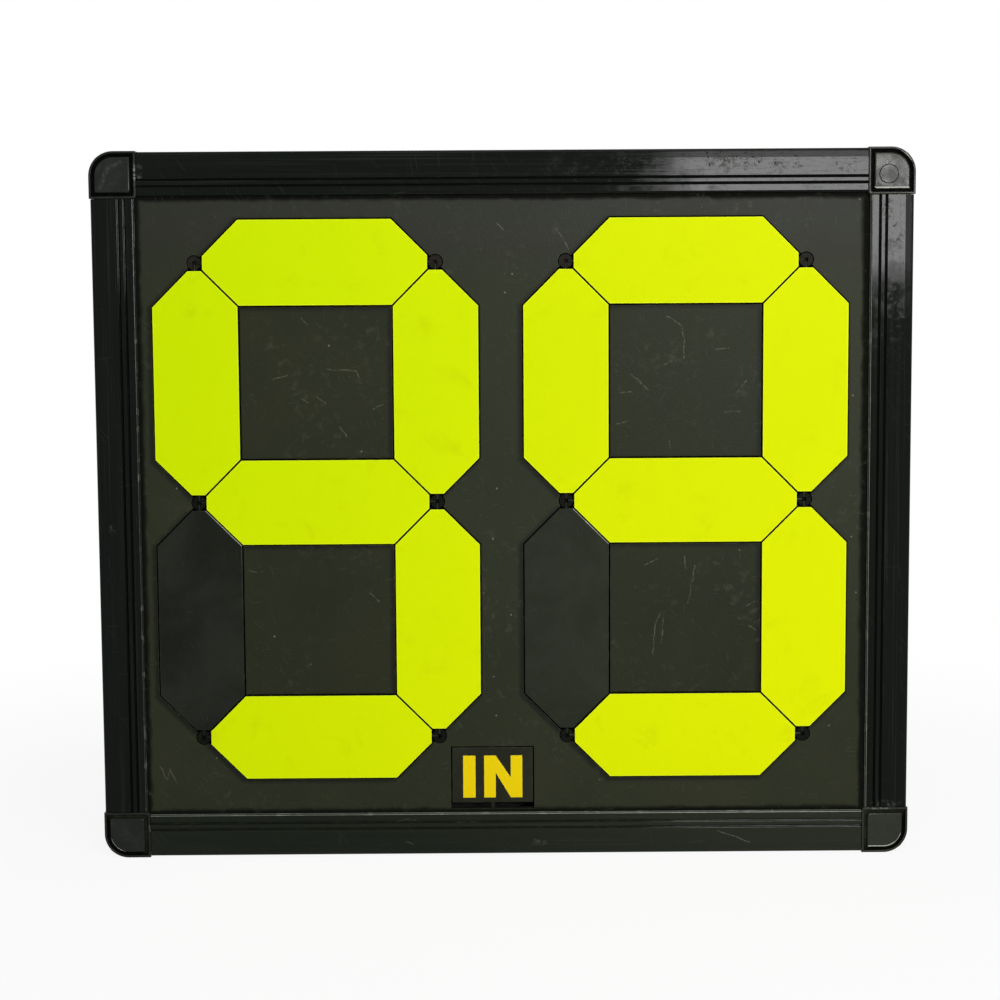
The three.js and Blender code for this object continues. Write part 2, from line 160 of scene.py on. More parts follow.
def blended(tree, amount, first, second):
    """Two colours mixed by an amount."""
    node = tree.nodes.new("ShaderNodeMix")
    node.data_type = "RGBA"
    for socket, value in ((node.inputs["Factor"], amount), (node.inputs[6], first), (node.inputs[7], second)):
        if isinstance(value, bpy.types.NodeSocket):
            tree.links.new(value, socket)
        else:
            socket.default_value = value
    return node.outputs[2]


def new_group(name, inputs, output="Mask"):
    """A shader group that reads a place and other named inputs, and puts out one value."""
    inputs = {"Place": ("vector", (0, 0, 0)), **inputs}
    tree = bpy.data.node_groups.new(name, "ShaderNodeTree")
    kinds = {"value": "NodeSocketFloat", "vector": "NodeSocketVector"}
    for label, (kind, start) in inputs.items():
        tree.interface.new_socket(label, in_out="INPUT", socket_type=kinds[kind]).default_value = start
    tree.interface.new_socket(output, in_out="OUTPUT", socket_type=kinds["value"])
    return tree, tree.nodes.new("NodeGroupInput").outputs, tree.nodes.new("NodeGroupOutput").inputs


def use(tree, group, sockets, output="Mask"):
    """A shader group placed in a material, with its own values."""
    return put(tree, "ShaderNodeGroup", sockets, node_tree=group).outputs[output]


# ---------------------------------------------------------------- shared effects

def make_line_mark():
    """A thin scratch from one point of the board's face to another, a little wavy and broken in places."""
    tree, given, result = new_group("line mark", {
        "Start": ("vector", (0, 0, 0)), "End": ("vector", (0, 0, 0)),
        "Width": ("value", 0.0004),
    })
    flat = vector_maths(tree, "MULTIPLY", given["Place"], (1, 0, 1))
    sway = put(tree, "ShaderNodeTexNoise", {"Vector": flat, "Scale": 120.0, "Detail": 1.0}).outputs["Color"]
    pushed = vector_maths(tree, "MULTIPLY_ADD", sway, (0.0028, 0, 0.0028), (-0.0014, 0, -0.0014))
    torn = put(tree, "ShaderNodeTexNoise", {"Vector": flat, "Scale": 480.0, "Detail": 3.0}).outputs["Fac"]
    flat = vector_maths(tree, "ADD", flat, pushed)
    run = vector_maths(tree, "SUBTRACT", given["End"], given["Start"])
    away = vector_maths(tree, "SUBTRACT", flat, given["Start"])
    along = vector_maths(tree, "DOT_PRODUCT", away, run)
    whole = vector_maths(tree, "DOT_PRODUCT", run, run)
    share = maths(tree, "DIVIDE", along, whole, clamp=True)
    nearest = vector_maths(tree, "SCALE", run, scale=share)
    gap = vector_maths(tree, "DISTANCE", away, nearest)
    edge = maths(tree, "DIVIDE", gap, given["Width"])
    line = ramp(tree, edge, 0.35, 1, 1, 0, smooth=True)
    tree.links.new(maths(tree, "MULTIPLY", line, ramp(tree, torn, 0.4, 0.62, 0.15, 1)), result["Mask"])
    return tree


def make_faint_scratches():
    """Many thin scratches a few millimetres long, in three directions across the board's face."""
    tree, given, result = new_group("faint scratches", {
        "Length": ("value", 0.01), "Width": ("value", 0.0003),
        "Share": ("value", 0.03),
    })
    sway = put(tree, "ShaderNodeTexNoise", {"Vector": given["Place"], "Scale": 60.0, "Detail": 0.0})
    pushed = vector_maths(tree, "SCALE", sway.outputs["Color"], scale=0.003)
    place = vector_maths(tree, "ADD", given["Place"], pushed)
    total = 0.0
    for turn in (0.15, -0.9, 1.7):
        turned = put(tree, "ShaderNodeVectorRotate", {"Vector": place, "Rotation": (0, turn, 0)},
                     rotation_type="EULER_XYZ").outputs[0]
        apart = put(tree, "ShaderNodeSeparateXYZ", {"Vector": turned})
        lengthwise = maths(tree, "DIVIDE", apart.outputs["X"], given["Length"])
        crosswise = maths(tree, "DIVIDE", apart.outputs["Z"], given["Width"])
        cells = put(tree, "ShaderNodeCombineXYZ", {"X": lengthwise, "Y": crosswise})
        spots = put(tree, "ShaderNodeTexVoronoi", {"Vector": cells.outputs[0], "Scale": 0.5},
                    voronoi_dimensions="2D")
        thin = ramp(tree, spots.outputs["Distance"], 0.12, 0.3, 1, 0, smooth=True)
        lot = put(tree, "ShaderNodeSeparateColor", {"Color": spots.outputs["Color"]})
        kept = maths(tree, "LESS_THAN", lot.outputs[0], given["Share"])
        strength = ramp(tree, lot.outputs[1], 0, 1, 0.25, 1)
        total = maths(tree, "MAXIMUM", total, gathered(tree, "MULTIPLY", thin, kept, strength))
    tree.links.new(total, result["Mask"])
    return tree


def make_specks():
    """Dust and small pits: round specks a given distance apart, some of them kept."""
    tree, given, result = new_group("specks", {
        "Apart": ("value", 0.003), "Size": ("value", 0.08),
        "Share": ("value", 0.2),
    })
    scale = maths(tree, "DIVIDE", 1.0, given["Apart"])
    spots = put(tree, "ShaderNodeTexVoronoi", {"Vector": given["Place"], "Scale": scale})
    lot = put(tree, "ShaderNodeSeparateColor", {"Color": spots.outputs["Color"]})
    reach = maths(tree, "MULTIPLY", given["Size"], ramp(tree, lot.outputs[1], 0, 1, 0.5, 1.5))
    inside = ramp(tree, maths(tree, "DIVIDE", spots.outputs["Distance"], reach), 0.6, 1, 1, 0, smooth=True)
    kept = maths(tree, "LESS_THAN", lot.outputs[0], given["Share"])
    tree.links.new(maths(tree, "MULTIPLY", inside, kept), result["Mask"])
    return tree


def make_smudges():
    """Soft cloudy patches of wiped dirt, large ones with smaller ones in them."""
    tree, given, result = new_group("smudges", {
        "Size": ("value", 0.06), "Low": ("value", 0.4), "High": ("value", 0.7),
    })
    scale = maths(tree, "DIVIDE", 1.0, given["Size"])
    cloud = put(tree, "ShaderNodeTexNoise", {
        "Vector": given["Place"], "Scale": scale, "Detail": 4.0, "Roughness": 0.6, "Distortion": 0.4,
    })
    patches = ramp(tree, cloud.outputs["Fac"], given["Low"], given["High"], smooth=True)
    tree.links.new(patches, result["Mask"])
    return tree


def make_streaks():
    """Fine lines and wider bands along one direction, as drawing and handling leave on a rail."""
    tree, given, result = new_group("streaks", {
        "Stretch": ("vector", (1, 1, 1)), "Low": ("value", 0.5),
        "High": ("value", 0.75),
    })
    place = vector_maths(tree, "MULTIPLY", given["Place"], given["Stretch"])
    lines = put(tree, "ShaderNodeTexNoise", {"Vector": place, "Scale": 1.0, "Detail": 5.0, "Roughness": 0.65})
    tree.links.new(ramp(tree, lines.outputs["Fac"], given["Low"], given["High"]), result["Mask"])
    return tree


def make_grain():
    """The fine stipple of moulded plastic, as a height."""
    tree, given, result = new_group("grain", {
        "Size": ("value", 0.0006),
    }, "Height")
    scale = maths(tree, "DIVIDE", 1.0, given["Size"])
    fine = put(tree, "ShaderNodeTexNoise", {"Vector": given["Place"], "Scale": scale, "Detail": 1.0})
    tree.links.new(ramp(tree, fine.outputs["Fac"], 0.3, 0.7, 0, 1, smooth=True), result["Height"])
    return tree


def make_patch():
    """One rubbed patch on the board's face: an oval round a place, broken up inside."""
    tree, given, result = new_group("rubbed patch", {
        "Middle": ("vector", (0, 0, 0)), "Reach": ("vector", (0.03, 1, 0.005)),
        "Break": ("value", 0.004),
    })
    away = vector_maths(tree, "SUBTRACT", given["Place"], given["Middle"])
    oval = vector_maths(tree, "DIVIDE", away, given["Reach"])
    flat = vector_maths(tree, "MULTIPLY", oval, (1, 0, 1))
    gap = vector_maths(tree, "LENGTH", flat)
    scale = maths(tree, "DIVIDE", 1.0, given["Break"])
    torn = put(tree, "ShaderNodeTexNoise", {
        "Vector": given["Place"], "Scale": scale, "Detail": 6.0, "Roughness": 0.7,
    })
    inside = ramp(tree, gap, 0.2, 1, 1, 0, smooth=True)
    bits = ramp(tree, torn.outputs["Fac"], 0.48, 0.6, 0, 1)
    tree.links.new(maths(tree, "MULTIPLY", inside, bits), result["Mask"])
    return tree


def make_side_share():
    """How far a place lies from the left side of the board, 0, to the right side, 1."""
    tree, given, result = new_group("share across", {})
    apart = put(tree, "ShaderNodeSeparateXYZ", {"Vector": given["Place"]})
    tree.links.new(ramp(tree, apart.outputs["X"], -0.21, 0.21, 0, 1, smooth=True), result["Mask"])
    return tree


def make_border_shade():
    """Painted shade on the panel along the inner edge of the frame, where the frame's shadow falls."""
    tree, given, result = new_group("painted shade along the frame", {
        "Middle": ("vector", (0, 0, 0)), "Half": ("vector", (0.2, 1, 0.2)),
        "Reach": ("value", 0.003),
    })
    away = vector_maths(tree, "SUBTRACT", given["Place"], given["Middle"])
    sides = vector_maths(tree, "ABSOLUTE", away)
    inward = vector_maths(tree, "SUBTRACT", given["Half"], sides)
    apart = put(tree, "ShaderNodeSeparateXYZ", {"Vector": inward})
    nearest = maths(tree, "MINIMUM", apart.outputs["X"], apart.outputs["Z"])
    uneven = put(tree, "ShaderNodeTexNoise", {"Vector": given["Place"], "Scale": 90.0, "Detail": 2.0})
    reach = maths(tree, "MULTIPLY", given["Reach"], ramp(tree, uneven.outputs["Fac"], 0.3, 0.7, 0.75, 1.25))
    share = maths(tree, "DIVIDE", nearest, reach)
    tree.links.new(ramp(tree, share, 0.2, 1, 1, 0, smooth=True), result["Mask"])
    return tree


def make_flap_shadow():
    """Painted shadow on the panel beside the flaps, more of it below them and to their left.

    The flaps' places are alike about the middle of each digit, so one quarter of a digit stands for all.
    """
    tree, given, result = new_group("painted shadow beside flaps", {
        "Shift": ("vector", (0.0012, 0, 0.0008)), "Reach": ("value", 0.0034),
    })
    moved = vector_maths(tree, "ADD", given["Place"], given["Shift"])
    apart = put(tree, "ShaderNodeSeparateXYZ", {"Vector": moved})
    across = maths(tree, "ABSOLUTE", maths(tree, "ADD", apart.outputs["X"], -DIGITS_MIDDLE * MM))
    across = maths(tree, "ABSOLUTE", maths(tree, "SUBTRACT", across, DIGIT_FROM_MIDDLE * MM))
    up = maths(tree, "ABSOLUTE", maths(tree, "SUBTRACT", apart.outputs["Z"], DIGITS_LEVEL * MM))
    nearest = None
    for column, row, half_across, half_up in (
        (0, 0, HALF_FLAP_LENGTH, HALF_FLAP_WIDTH), (0, FLAP_PITCH, HALF_FLAP_LENGTH, HALF_FLAP_WIDTH),
        (FLAP_PITCH / 2, FLAP_PITCH / 2, HALF_FLAP_WIDTH, HALF_FLAP_LENGTH),
    ):
        from_middle = maths(tree, "ABSOLUTE", maths(tree, "SUBTRACT", across, column * MM))
        from_level = maths(tree, "ABSOLUTE", maths(tree, "SUBTRACT", up, row * MM))
        past_side = maths(tree, "SUBTRACT", from_middle, half_across * MM)
        past_top = maths(tree, "SUBTRACT", from_level, half_up * MM)
        slant = maths(tree, "MULTIPLY", maths(tree, "ADD", from_middle, from_level), math.sqrt(0.5))
        past_corner = maths(tree, "SUBTRACT", slant, SLANTED_CORNER * MM)
        past = gathered(tree, "MAXIMUM", past_side, past_top, past_corner)
        nearest = past if nearest is None else maths(tree, "MINIMUM", nearest, past)
    share = maths(tree, "DIVIDE", nearest, given["Reach"])
    tree.links.new(ramp(tree, share, 0, 1, 1, 0, smooth=True), result["Mask"])
    return tree


LINE_MARK = make_line_mark()
FLAP_SHADOW = make_flap_shadow()
BORDER_SHADE = make_border_shade()
SIDE_SHARE = make_side_share()
FAINT_SCRATCHES = make_faint_scratches()
SPECKS = make_specks()
SMUDGES = make_smudges()
STREAKS = make_streaks()
GRAIN = make_grain()
PATCH = make_patch()


# ---------------------------------------------------------------- materials

def new_material(name, roughness, specular, metallic=0.0):
    """A material with a Principled shader; returns it with its tree, shader and the piece's own place."""
    material = bpy.data.materials.new(name)
    material.use_nodes = True
    tree = material.node_tree
    shader = tree.nodes["Principled BSDF"]
    shader.inputs["Roughness"].default_value = roughness
    shader.inputs["Specular IOR Level"].default_value = specular
    shader.inputs["Metallic"].default_value = metallic
    place = tree.nodes.new("ShaderNodeTexCoord").outputs["Object"]
    return material, tree, shader, place


def marked(tree, place, marks, width):
    """One mask for a list of scratches, each from and to a place across and up the board, in millimetres."""
    total = 0.0
    for across, up, to_across, to_up in marks:
        mark = use(tree, LINE_MARK, {
            "Place": place, "Start": (across * MM, 0, up * MM), "End": (to_across * MM, 0, to_up * MM),
            "Width": width * MM,
        })
        total = maths(tree, "MAXIMUM", total, mark)
    return total


def bump(tree, shader, height, distance, strength):
    node = put(tree, "ShaderNodeBump", {"Height": height, "Distance": distance, "Strength": strength})
    tree.links.new(node.outputs["Normal"], shader.inputs["Normal"])


def scratched(tree, place, length, width, share):
    return use(tree, FAINT_SCRATCHES, {
        "Place": place, "Length": length * MM, "Width": width * MM, "Share": share,
    })


def smudged(tree, place, size, low, high):
    return use(tree, SMUDGES, {"Place": place, "Size": size, "Low": low, "High": high})


def specked(tree, place, apart, size, share):
    return use(tree, SPECKS, {"Place": place, "Apart": apart, "Size": size, "Share": share})


def grained(tree, shader, place, size, distance, strength):
    bump(tree, shader, use(tree, GRAIN, {"Place": place, "Size": size}, "Height"), distance, strength)


PANEL_MARKS = (
    (-215.6, 57.2, -211.4, 48.3), (-211.4, 48.3, -209.4, 54.7), (-209.4, 54.7, -205.2, 46.4),
    (-3.6, 391.2, 0.2, 387.4), (33.5, 388.2, 39.8, 375.6),
)
TILE_MARKS = {
    "tens_upper": (
        (-123.4, 334.8, -119.2, 330.5), (-108, 303.6, -90.2, 302.3), (-90.2, 302.3, -88.1, 298.6),
        (-141.1, 297.7, -132.5, 299.7), (-80.1, 278.9, -74, 281.7), (-100.5, 268, -96.9, 262.5),
        (-124.8, 286.2, -120.5, 283.2), (-113.7, 286.5, -108.9, 282.8),
    ),
    "units_upper": (
        (100.1, 334.6, 108.7, 328.4), (108.7, 328.4, 111.1, 320.5), (110.8, 319.9, 110.3, 308.9),
        (77.5, 299.3, 89.1, 289.5), (98.3, 304.7, 103.2, 307.1), (130.1, 314.9, 137.5, 315.1),
        (71.4, 287.8, 78.7, 288.9), (68.9, 268.5, 76.3, 270.5), (135.8, 275.9, 145, 275.6),
        (143.7, 288.5, 148.6, 294.6), (101.5, 258.1, 102.1, 254.4),
    ),
    "tens_lower": ((-158.5, 180, -153.6, 178.1), (-83.6, 164.5, -77.3, 160.1)),
    "units_lower": (
        (117, 181.2, 116.5, 171.2), (115.8, 171.2, 113.4, 157.5), (96.1, 152, 93, 142.6),
        (93, 142.6, 91.7, 126.3), (97.9, 148.2, 97.3, 133.2), (149.3, 155.4, 154.9, 158.5),
        (151.3, 142.9, 155.6, 140.3), (110.9, 186.9, 112.4, 178.7), (86.1, 181.4, 94.8, 185.1),
    ),
}


def make_panel_plastic(name, marks, dark, light):
    """Satin olive black, greyer towards the top, with painted shade along the frame and beside the flaps."""
    material, tree, shader, place = new_material(name, 0.46, 0.1)
    cloud = smudged(tree, place, 0.09, 0.3, 0.75)
    colour = blended(tree, cloud, dark, light)
    height = height_on(tree, place)
    colour = blended(tree, ramp(tree, height, 0.34, 0.415, 0, 0.8, smooth=True), colour, shade(38, 39, 35))
    # Painted shade: dark along the frame where its shadow falls, and beside the flaps, mostly below them and
    # to their left.
    border_shade = use(tree, BORDER_SHADE, {
        "Place": place, "Middle": (-0.0006, 0, 0.2177), "Half": (0.2225, 1, 0.1906), "Reach": 0.004,
    })
    beside = use(tree, FLAP_SHADOW, {"Place": place, "Shift": (0.0014, 0, 0.001), "Reach": 0.0036})
    dirt_and_shade = gathered(tree, "MAXIMUM", (border_shade, 0.93), (beside, 0.8))
    colour = blended(tree, dirt_and_shade, colour, shade(5, 6, 4))
    drawn = marked(tree, place, marks, 0.5)
    faint = scratched(tree, place, 7, 0.3, 0.02)
    dust_and_shade = specked(tree, place, 0.005, 0.06, 0.2)
    bits = specked(tree, place, 0.014, 0.038, 0.8)
    handled = smudged(tree, place, 0.03, 0.45, 0.7)
    wisps = smudged(tree, place, 0.005, 0.52, 0.68)
    touched = maths(tree, "MULTIPLY", handled, wisps)
    pale = gathered(tree, "MAXIMUM", (drawn, 0.4), (faint, 0.16), (dust_and_shade, 0.25), (bits, 0.7), (touched, 0.11))
    tree.links.new(blended(tree, pale, colour, shade(112, 114, 98)), shader.inputs["Base Color"])
    rough = gathered(tree, "ADD", ramp(tree, cloud, 0, 1, 0.42, 0.5), (border_shade, 0.5))
    tree.links.new(rough, shader.inputs["Roughness"])
    grained(tree, shader, place, 0.0009, 0.00005, 0.6)
    return material


def make_flap_plastic(name, left, right):
    """The plastic of the turning plates; towards the right of the board it is painted lighter and greyer, a
    painted reflection.
    """
    material, tree, shader, place = new_material(name, 0.4, 0.1)
    cloud = smudged(tree, place, 0.05, 0.35, 0.7)
    dust_and_shade = specked(tree, place, 0.0022, 0.09, 0.3)
    faint = scratched(tree, place, 7, 0.25, 0.012)
    # Painted reflection: plates towards the right of the board are painted lighter.
    colour = blended(tree, use(tree, SIDE_SHARE, {"Place": place}), left, right)
    wear = gathered(tree, "MAXIMUM", (faint, 0.2), (dust_and_shade, 0.13), (cloud, 0.05))
    tree.links.new(blended(tree, wear, colour, shade(110, 114, 104)), shader.inputs["Base Color"])
    tree.links.new(ramp(tree, cloud, 0, 1, 0.36, 0.46), shader.inputs["Roughness"])
    grained(tree, shader, place, 0.0007, 0.00004, 0.5)
    return material


def make_worn_and_highlit_edge(name, dark, pale, roughness, specular):
    """The rounded edge of a plate or window, paler in patches: partly rubbed by handling, partly a painted
    highlight where light catches the edge.
    """
    material, tree, shader, place = new_material(name, roughness, specular)
    wear_and_highlight = smudged(tree, place, 0.009, 0.5, 0.68)
    tree.links.new(blended(tree, wear_and_highlight, dark, pale), shader.inputs["Base Color"])
    tree.links.new(ramp(tree, wear_and_highlight, 0, 1, roughness, roughness + 0.15), shader.inputs["Roughness"])
    grained(tree, shader, place, 0.0006, 0.00003, 0.4)
    return material


def make_bright_film(name, left, right, wear_and_highlight, lift=0.0):
    """Bright film, a little yellower towards the right of the board, with wiped dirt on it.

    Towards the bottom of the board it is painted brighter, by the share given: painted light.
    """
    material, tree, shader, place = new_material(name, 0.55, 0.02)
    dirt_and_shade = smudged(tree, place, 0.022, 0.55, 0.85)
    dust_and_shade = specked(tree, place, 0.006, 0.05, 0.2)
    faint = scratched(tree, place, 10, 0.3, 0.006)
    colour = blended(tree, use(tree, SIDE_SHARE, {"Place": place}), left, right)
    # Painted light: brighter towards the bottom of the board.
    if lift:
        height = height_on(tree, place)
        colour = blended(tree, ramp(tree, height, 0.07, 0.3, lift, 0), colour, shade(255, 255, 0))
    marks = gathered(tree, "MAXIMUM", (faint, 0.2), (dust_and_shade, 0.3), (dirt_and_shade, 0.35))
    tree.links.new(blended(tree, marks, colour, wear_and_highlight), shader.inputs["Base Color"])
    tree.links.new(ramp(tree, dirt_and_shade, 0, 1, 0.5, 0.62), shader.inputs["Roughness"])
    grained(tree, shader, place, 0.0012, 0.00003, 0.4)
    return material


def rubbed_places(tree, place, patches, broken):
    """One mask for a list of rubbed patches, each a middle and a reach in millimetres."""
    total = 0.0
    for middle, reach in patches:
        spot = use(tree, PATCH, {
            "Place": place, "Middle": (middle[0] * MM, 0, middle[1] * MM),
            "Reach": (reach[0] * MM, 1, reach[1] * MM), "Break": broken * MM,
        })
        total = maths(tree, "MAXIMUM", total, spot)
    return total


def make_rail_coat(name, along, across, patches, scratches, dents, dark, light, right):
    """Gloss coat on a rail, with streaks along it; along and across are its directions.

    Scratches are pale and dents dull. The coat fades to the last colour at the right side of the board.
    """
    material, tree, shader, place = new_material(name, 0.12, 0.08)
    long_way = Vector(along) * 7 + Vector(across) * 1100 + Vector((0, 1100, 0))
    wide_way = Vector(along) * 10 + Vector(across) * 170 + Vector((0, 170, 0))
    lines = use(tree, STREAKS, {"Place": place, "Stretch": long_way, "Low": 0.55, "High": 0.78})
    bands = use(tree, STREAKS, {"Place": place, "Stretch": wide_way, "Low": 0.35, "High": 0.72})
    smears = smudged(tree, place, 0.014, 0.5, 0.72)
    mottled = smudged(tree, place, 0.003, 0.5, 0.7)
    faint = scratched(tree, place, 12, 0.3, 0.02)
    rubbed = rubbed_places(tree, place, patches, 3)
    colour = blended(tree, bands, dark, light)
    share = use(tree, SIDE_SHARE, {"Place": place})
    colour = blended(tree, gathered(tree, "MULTIPLY", share, share, 0.8), colour, right)
    pale = gathered(tree, "MAXIMUM", (lines, 0.1), (rubbed, 0.34), (faint, 0.12))
    if scratches:
        pale = gathered(tree, "MAXIMUM", pale, (marked(tree, place, scratches, 0.45), 0.6))
    tree.links.new(blended(tree, pale, colour, shade(104, 108, 102)), shader.inputs["Base Color"])
    smooth = ramp(tree, bands, 0, 1, 0.05, 0.09)
    rough = gathered(tree, "ADD", smooth, (smears, 0.1), (mottled, 0.09), (rubbed, 0.3))
    if dents:
        rough = gathered(tree, "ADD", rough, (marked(tree, place, dents, 0.5), 0.6))
    tree.links.new(rough, shader.inputs["Roughness"])
    bump(tree, shader, gathered(tree, "ADD", (bands, 0.8), (lines, -0.15)), 0.00009, 0.5)
    return material


def make_cap_plastic(patches, sheen):
    """Glossier plastic of the corner caps, rubbed in places, with painted light that makes the caps on the
    right lighter; a soft sheen follows the given line.
    """
    material, tree, shader, place = new_material("cap plastic", 0.24, 0.14)
    cloud = smudged(tree, place, 0.012, 0.35, 0.7)
    faint = scratched(tree, place, 5, 0.25, 0.015)
    dust_and_shade = specked(tree, place, 0.003, 0.08, 0.15)
    rubbed = rubbed_places(tree, place, patches, 1.5)
    colour = blended(tree, cloud, shade(20, 23, 19), shade(30, 33, 28))
    # Painted light: caps towards the right of the board are painted lighter.
    share = maths(tree, "MULTIPLY", use(tree, SIDE_SHARE, {"Place": place}), 0.7)
    colour = blended(tree, share, colour, shade(42, 44, 36))
    fine = maths(tree, "MAXIMUM", faint, dust_and_shade)
    pale = gathered(tree, "MAXIMUM", (fine, 0.15), (rubbed, 0.9), (marked(tree, place, sheen, 1.6), 0.13))
    tree.links.new(blended(tree, pale, colour, shade(120, 124, 116)), shader.inputs["Base Color"])
    tree.links.new(ramp(tree, cloud, 0, 1, 0.17, 0.32), shader.inputs["Roughness"])
    peel = use(tree, GRAIN, {"Place": place, "Size": 0.0035}, "Height")
    grain = use(tree, GRAIN, {"Place": place, "Size": 0.0012}, "Height")
    bump(tree, shader, gathered(tree, "ADD", peel, (grain, 0.15)), 0.00006, 0.5)
    return material


def make_recess_shade(name, lighter):
    """Painted shade on the bottom and sides of narrow grooves, near black where the light does not reach.

    On the bottom rail and the inner half of the lower caps the painted shade is paler than in the outer
    corners.
    """
    material, tree, shader, place = new_material(name, 0.7, 0.02)
    dirt_and_shade = smudged(tree, place, 0.006, 0.4, 0.75)
    colour = blended(tree, dirt_and_shade, shade(4, 5, 4), shade(13, 14, 12))
    if lighter:
        parts = put(tree, "ShaderNodeSeparateXYZ", {"Vector": place}).outputs
        outward = maths(tree, "SUBTRACT", maths(tree, "ABSOLUTE", parts["X"], 0), parts["Z"])
        # Paler painted shade away from the outer corners.
        dust_and_shade = blended(tree, dirt_and_shade, shade(28, 31, 23), shade(44, 47, 37))
        colour = blended(tree, ramp(tree, outward, 0.218, 0.226), dust_and_shade, colour)
    tree.links.new(colour, shader.inputs["Base Color"])
    grained(tree, shader, place, 0.0008, 0.00005, 0.5)
    return material


def make_case_plastic(name, dark, light, specular):
    material, tree, shader, place = new_material(name, 0.6, specular)
    cloud = smudged(tree, place, 0.07, 0.35, 0.7)
    faint = scratched(tree, place, 14, 0.35, 0.012)
    colour = blended(tree, cloud, dark, light)
    tree.links.new(blended(tree, maths(tree, "MULTIPLY", faint, 0.4), colour, shade(100, 101, 95)),
                   shader.inputs["Base Color"])
    tree.links.new(ramp(tree, cloud, 0, 1, 0.52, 0.66), shader.inputs["Roughness"])
    grained(tree, shader, place, 0.0014, 0.00014, 0.8)
    return material


def make_bearing_plastic():
    """Plastic of the bearing posts, painted near black as painted shade in their holes, lighter towards the
    top of the board.
    """
    material, tree, shader, place = new_material("bearing plastic", 0.5, 0.05)
    cloud = smudged(tree, place, 0.004, 0.35, 0.7)
    height = height_on(tree, place)
    # Painted shade: near black lower down, a little lighter towards the top of the board.
    lighter = blended(tree, cloud, shade(22, 20, 16), shade(36, 32, 27))
    darker_below = blended(tree, cloud, shade(7, 9, 5), shade(14, 17, 10))
    tree.links.new(blended(tree, ramp(tree, height, 0.3, 0.36), darker_below, lighter), shader.inputs["Base Color"])
    tree.links.new(ramp(tree, cloud, 0, 1, 0.42, 0.6), shader.inputs["Roughness"])
    grained(tree, shader, place, 0.0012, 0.0001, 0.6)
    return material


def make_screw_steel():
    material, tree, shader, place = new_material("screw steel", 0.34, 0.5, metallic=1.0)
    cloud = smudged(tree, place, 0.0025, 0.35, 0.7)
    faint = scratched(tree, place, 2, 0.12, 0.06)
    colour = blended(tree, cloud, shade(120, 118, 110), shade(158, 156, 148))
    tree.links.new(blended(tree, maths(tree, "MULTIPLY", faint, 0.4), colour, shade(200, 198, 190)),
                   shader.inputs["Base Color"])
    tree.links.new(ramp(tree, cloud, 0, 1, 0.28, 0.45), shader.inputs["Roughness"])
    return material


PANEL_PLASTIC = make_panel_plastic("panel plastic", PANEL_MARKS, shade(33, 37, 22), shade(38, 41, 26))
# Window edges of the panel and tiles: partly rubbed, partly a painted highlight.
PANEL_EDGE_WORN_AND_HIGHLIT = make_worn_and_highlit_edge("rubbed panel edge with painted highlight", shade(34, 37, 24), shade(62, 66, 50), 0.35, 0.2)
FLAP_PLASTIC = make_flap_plastic("flap plastic", shade(13, 18, 8), shade(31, 36, 22))
BADGE_PLASTIC = make_flap_plastic("badge plastic", shade(26, 28, 17), shade(26, 28, 17))
FLAP_EDGE = make_worn_and_highlit_edge("edge of a flap", shade(16, 20, 12), shade(40, 44, 34), 0.3, 0.2)
# Painted highlight on a flap's upper right edge.
FLAP_EDGE_HIGHLIGHT = make_worn_and_highlit_edge("painted highlight on the edge of a flap", shade(120, 122, 114), shade(206, 208, 200), 0.3, 0.4)
BRIGHT_FILM = make_bright_film(
    "bright film", shade(194, 220, 0), shade(203, 216, 0), shade(176, 188, 6), lift=0.16)
FILM_EDGE = make_bright_film(
    "cut edge of the film", shade(206, 229, 24), shade(214, 226, 30), shade(186, 198, 30))
LETTER_FILM = make_bright_film(
    "golden letter film", shade(226, 198, 12), shade(226, 198, 12), shade(204, 172, 30))
LETTER_EDGE = make_bright_film(
    "cut edge of the letters", shade(250, 230, 80), shade(250, 230, 80), shade(226, 200, 60))
COAT_SHADES = (shade(4, 9, 5), shade(9, 14, 9), shade(8, 12, 7))
TOP_NICKS = tuple((x, z, x + dx, z + dz) for x, z, dx, dz in (
    (123.8, 432.6, 0.3, 1.1), (124.6, 430.2, -0.4, 1.0), (128.6, 432, 0.9, 0.3), (132.2, 432.8, 0.1, 1.2),
    (138.1, 431.8, 1.0, -0.4), (141.7, 430.4, 0.5, 0.9), (125.3, 425.4, 0.1, 1.3), (132.6, 425.2, 0.2, 1.2),
    (134.2, 428.2, -0.5, 0.9), (146.3, 432.6, 1.1, 0.4), (151.3, 430.6, 0.9, -0.6), (155.6, 426.4, -0.7, 1.1),
    (164.6, 426, 0.8, 0.8), (169.2, 432.4, 0.2, 0.9), (177.4, 430.6, 0.8, -0.3), (178, 425.6, 0.1, 1.1),
))
TOP_COAT = make_rail_coat(
    "coat on the top rail", (1, 0, 0), (0, 0, 1),
    (((142, 427), (22, 6)), ((172, 425), (16, 5)), ((-219.5, 423), (2.5, 9)), ((205, 424), (14, 5))),
    (),
    TOP_NICKS,
    *COAT_SHADES)
